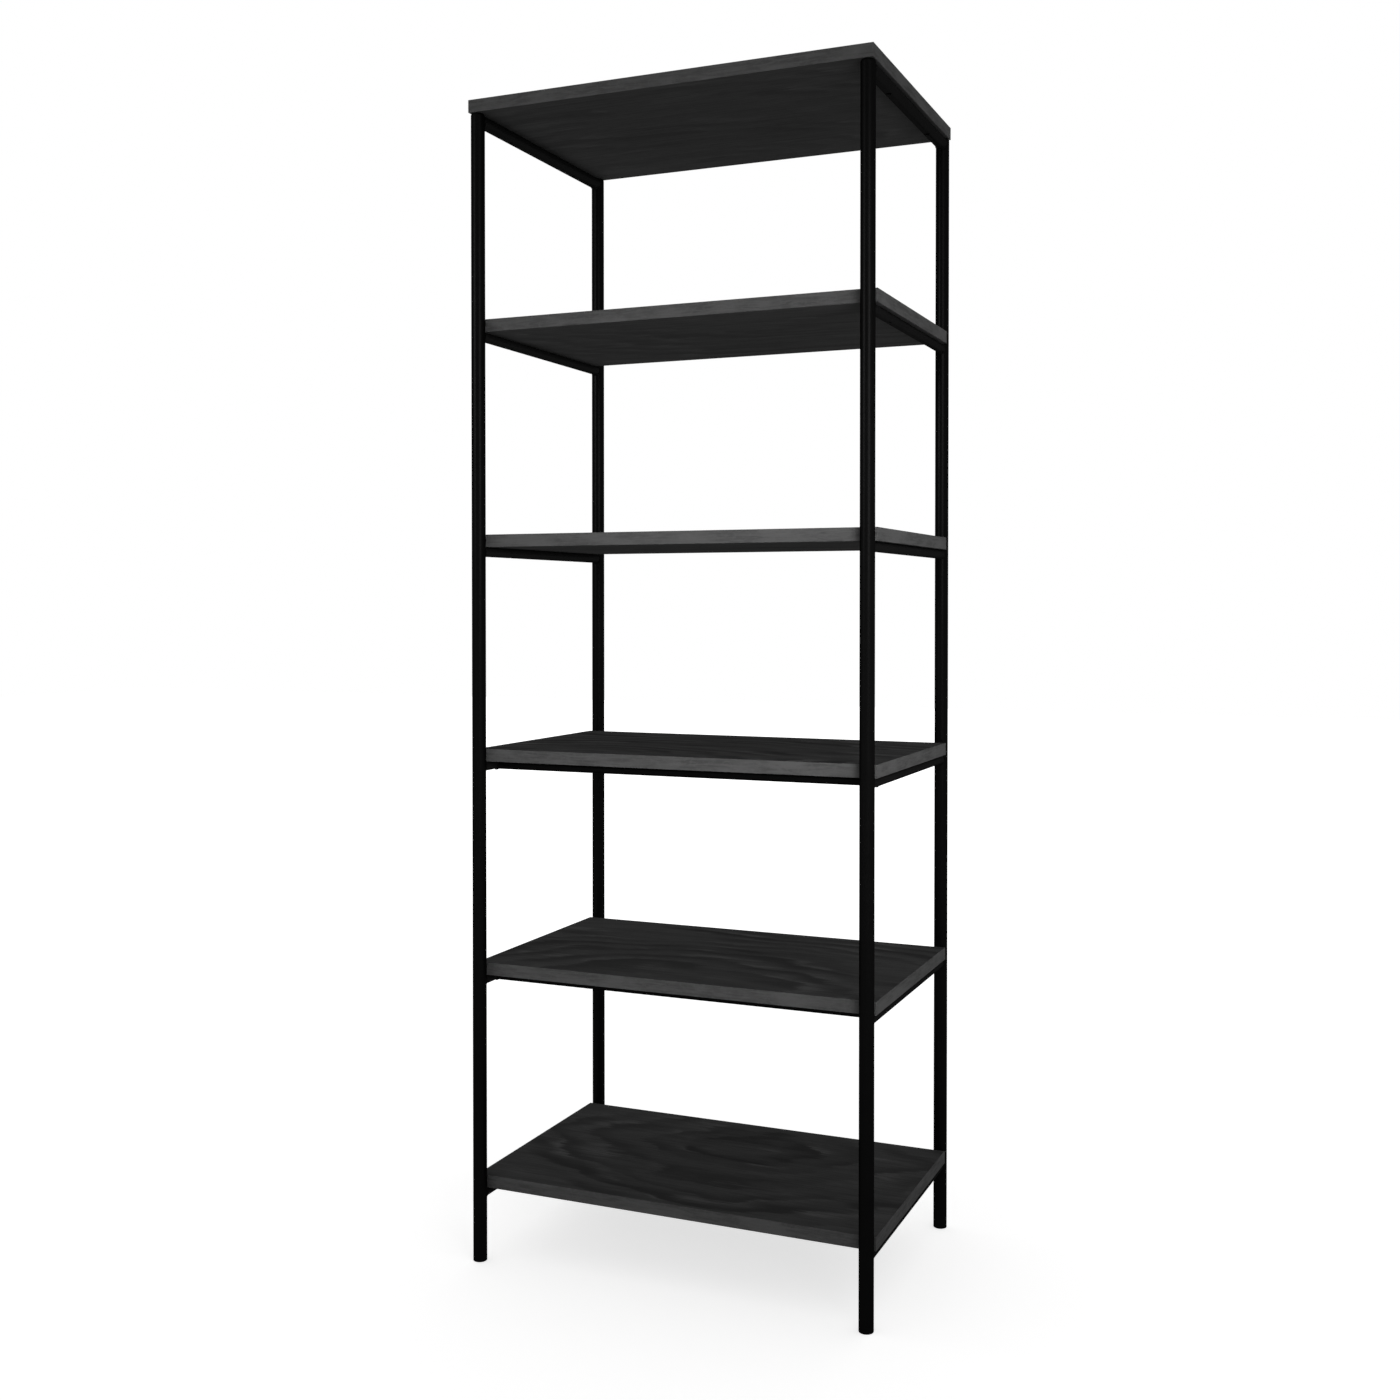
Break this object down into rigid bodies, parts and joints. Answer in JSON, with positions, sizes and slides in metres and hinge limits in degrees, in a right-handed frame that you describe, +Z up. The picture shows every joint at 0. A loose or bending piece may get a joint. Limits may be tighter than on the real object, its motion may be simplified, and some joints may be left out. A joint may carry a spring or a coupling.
{
  "type": "open shelf unit",
  "caption": "Tall free-standing open shelf unit: dark wood boards carried on a welded frame of round black steel posts and rails, open at the front, back and sides.",
  "frame": {"origin": "on the floor under the middle of the unit", "axes": "+X along the front to the right, +Y from front to back, +Z up"},
  "size_m": [0.6, 0.4, 1.665],
  "materials": {
    "frame_steel": "satin black powder coat",
    "board_veneer": "black stained wood veneer, satin, with arched grain",
    "edge_band": "dark grey stained wood edge, grain along the edge",
    "foot_plastic": "black moulded plastic",
    "screw_steel": "black phosphated"
  },
  "bodies": {
    "root": {"foot_plug_front_left": "foot_plastic", "foot_plug_front_right": "foot_plastic", "foot_plug_rear_left": "foot_plastic", "foot_plug_rear_right": "foot_plastic", "post_cap_front_left": "frame_steel", "post_cap_front_right": "frame_steel", "post_cap_rear_left": "frame_steel", "post_cap_rear_right": "frame_steel", "post_front_left": "frame_steel", "post_front_right": "frame_steel", "post_rear_left": "frame_steel", "post_rear_right": "frame_steel", "rail_1_left": "frame_steel", "rail_1_right": "frame_steel", "rail_2_left": "frame_steel", "rail_2_right": "frame_steel", "rail_3_left": "frame_steel", "rail_3_right": "frame_steel", "rail_4_left": "frame_steel", "rail_4_right": "frame_steel", "rail_5_left": "frame_steel", "rail_5_right": "frame_steel", "shelf_1": "board_veneer", "shelf_1_edge_bands": "edge_band", "shelf_1_screws": "screw_steel", "shelf_2": "board_veneer", "shelf_2_edge_bands": "edge_band", "shelf_2_screws": "screw_steel", "shelf_3": "board_veneer", "shelf_3_edge_bands": "edge_band", "shelf_3_screws": "screw_steel", "shelf_4": "board_veneer", "shelf_4_edge_bands": "edge_band", "shelf_4_screws": "screw_steel", "shelf_5": "board_veneer", "shelf_5_edge_bands": "edge_band", "shelf_5_screws": "screw_steel", "stretcher_2": "frame_steel", "stretcher_3": "frame_steel", "top_board": "board_veneer", "top_board_edge_bands": "edge_band", "top_board_screws": "screw_steel", "top_rail_left": "frame_steel", "top_rail_right": "frame_steel"}
  },
  "joints": []
}
